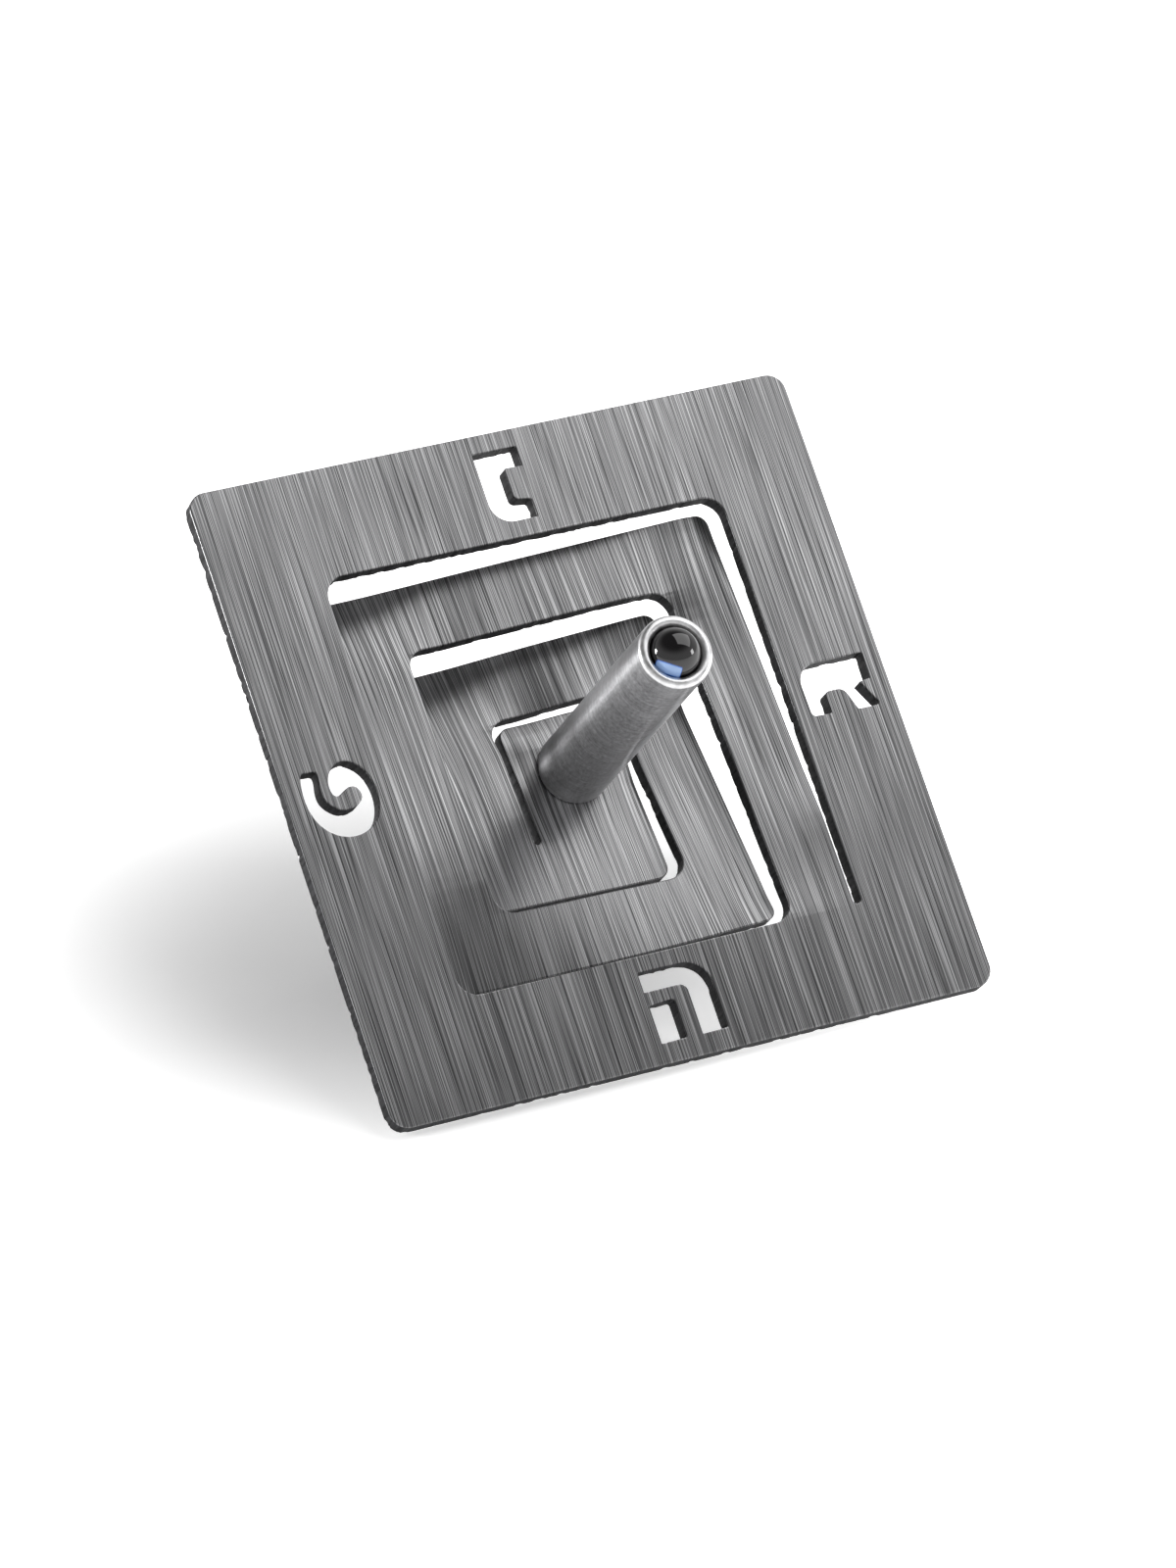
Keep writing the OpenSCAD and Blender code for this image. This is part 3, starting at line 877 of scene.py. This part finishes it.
# %% Stud
steel, tree = new_finish("drawn_steel_stud")
bench = bench_place(tree)
lines = bench_noise(tree, bench, (4, 4, 0.06), 2.0)
shade = ramp_colours(add(tree, "ShaderNodeValToRGB", links={"Fac": (lines, "Fac")}),
                     [(0.3, linear("#7C7E80")), (0.7, linear("#A6A8AA"))])
shader = add(tree, "ShaderNodeBsdfPrincipled", {"Metallic": 1.0, "Roughness": 0.35},
             {"Base Color": (shade, "Color")})
add(tree, "ShaderNodeOutputMaterial", links={"Surface": (shader, "BSDF")})
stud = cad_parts["joining_stud"]
stud.data.materials.clear()
stud.data.materials.append(steel)

# %% [markdown]
# ## The studio
#
# The dreidel stands on a white floor. The camera sees the floor's lit parts as
# plain white, and its shadows stay: the floor's diffuse white gets a little
# light of its own that only the camera, mirrors and glass see. That light is
# nearly off round a point under the left half of the plate, which paints a soft
# shadow there over the lamps' own shadow. It grows further away from the
# dreidel, so that the floor turns into a plain white background.

# %% Floor
SHADE_MIDDLE = (-0.018, 0.012, 0)  # under the left half of the plate
SHADE_NEAR, SHADE_FAR = 0.012, 0.07
deselect()
bpy.ops.mesh.primitive_plane_add(size=6, location=(0, 0, 0))
floor = bpy.context.object
floor.name = "studio_floor"
white, tree = new_finish("studio_white")
lit = add(tree, "ShaderNodeBsdfDiffuse", {"Color": (0.92, 0.92, 0.92, 1)})
spot = add(tree, "ShaderNodeTexCoord")
away = add(tree, "ShaderNodeVectorMath", {"operation": "DISTANCE", 1: SHADE_MIDDLE},
           {0: (spot, "Object")})
# the floor's own light, lowest at SHADE_MIDDLE: a painted shadow under the plate
own_light_with_painted_shadow = add(tree, "ShaderNodeMapRange",
           {"interpolation_type": "SMOOTHSTEP", "From Min": SHADE_NEAR, "From Max": SHADE_FAR,
            "To Min": 0.06, "To Max": 1.0}, {"Value": (away, "Value")})
own = add(tree, "ShaderNodeEmission", {"Color": (1, 1, 1, 1)}, {"Strength": (own_light_with_painted_shadow, "Result")})
path = add(tree, "ShaderNodeLightPath")
seen = add(tree, "ShaderNodeMath", {"operation": "MAXIMUM"},
           {0: (path, "Is Camera Ray"), 1: (path, "Is Glossy Ray")})
seen = add(tree, "ShaderNodeMath", {"operation": "MAXIMUM"},
           {0: (seen, 0), 1: (path, "Is Transmission Ray")})
both = add(tree, "ShaderNodeAddShader", links={0: (lit, "BSDF"), 1: (own, "Emission")})
mixed = add(tree, "ShaderNodeMixShader", links={"Fac": (seen, 0), 1: (lit, "BSDF"), 2: (both, "Shader")})
add(tree, "ShaderNodeOutputMaterial", links={"Surface": (mixed, "Shader")})
floor.data.materials.append(white)

# %% [markdown]
# The light is plain and soft: a room with pale walls and a darker ceiling, and
# a large softbox close overhead, a little to the right. The dark ceiling round
# the softbox is what gives brushed metal its contrast, and the pale walls keep
# the plate from going black when it is seen from other sides. A small lamp low
# on each side gives the round bar and the ball their fine highlights.

# %% Lights
WALLS, CEILING = 0.8, 0.15  # how white each part of the room is
HALF_WAY_UP = Vector((0, 0, 0.025))
world = bpy.data.worlds.new("pale_room")
bpy.context.scene.world = world
world.use_nodes = True
tree = world.node_tree
tree.nodes.clear()
sky = add(tree, "ShaderNodeTexCoord")
height = add(tree, "ShaderNodeSeparateXYZ", links={"Vector": (sky, "Generated")})
walls = add(tree, "ShaderNodeMapRange",
            {"interpolation_type": "SMOOTHSTEP", "From Min": 0.3, "From Max": 0.8,
             "To Min": WALLS, "To Max": CEILING}, {"Value": (height, "Z")})
room = add(tree, "ShaderNodeBackground", {"Color": (1, 1, 1, 1)}, {"Strength": (walls, "Result")})
backdrop = add(tree, "ShaderNodeBackground", {"Color": (1, 1, 1, 1), "Strength": 1.0})
path = add(tree, "ShaderNodeLightPath")
mixed = add(tree, "ShaderNodeMixShader", links={"Fac": (path, "Is Camera Ray"), 1: (room, "Background"),
                                                2: (backdrop, "Background")})
add(tree, "ShaderNodeOutputWorld", links={"Surface": (mixed, "Shader")})


def soft_lamp(name, direction, distance, size, brightness):
    """A square lamp aimed at the dreidel; a brightness of 1 would look as white as paper."""
    place = HALF_WAY_UP + Vector(direction).normalized() * distance
    data = bpy.data.lights.new(name, "AREA")
    data.shape = "SQUARE"
    data.size = size
    data.energy = math.pi * size * size * brightness
    lamp = bpy.data.objects.new(name, data)
    bpy.context.collection.objects.link(lamp)
    lamp.location = place
    lamp.rotation_euler = (HALF_WAY_UP - place).to_track_quat("-Z", "Y").to_euler()
    print(f"{name}: {data.energy:.2f} W at {tuple(round(c, 2) for c in place)}")


soft_lamp("overhead_softbox", (0.54, -0.02, 0.86), 0.42, 0.42, 2.0)
soft_lamp("left_lamp", (-0.9, 0.43, 0.16), 0.7, 0.16, 35.0)
soft_lamp("right_lamp", (0.84, -0.46, 0.16), 0.8, 0.2, 8.0)

# %% [markdown]
# ## The camera
#
# The photograph was taken from the front left, looking down at 29 degrees,
# through a long lens. The numbers below are the camera's place and its axes in
# bench coordinates, worked out from the plate's four edges in the photograph.

# %% Camera
FOCAL_PIXELS = 7326.3
PICTURE_PIXELS, SENSOR_MM = 1200, 36
camera_data = bpy.data.cameras.new("product_camera")
camera = bpy.data.objects.new("product_camera", camera_data)
bpy.context.collection.objects.link(camera)
# the bench's axes as the camera sees them: right, down, away
bench_right = Vector((0.900995, -0.208175, 0.380619))
bench_up = Vector((-0.313763, -0.918584, 0.240324))
bench_out = bench_right.cross(bench_up)
bench_origin = Vector((0.6686, -4.1943, 757.2723)) * MM
seen_axes = Matrix((bench_right, bench_up, bench_out)).transposed()
place = -(seen_axes.transposed() @ bench_origin)
flip = Matrix(((1, 0, 0), (0, -1, 0), (0, 0, -1)))
turn = (seen_axes.transposed() @ flip).to_4x4()
camera.matrix_world = BENCH_TO_PLATE @ Matrix.Translation(place) @ turn
camera_data.sensor_fit = "HORIZONTAL"
camera_data.sensor_width = SENSOR_MM
camera_data.lens = FOCAL_PIXELS / PICTURE_PIXELS * SENSOR_MM
bpy.context.scene.camera = camera
bpy.context.scene.view_settings.view_transform = "Standard"
print("camera at", camera.matrix_world.to_translation()[:])
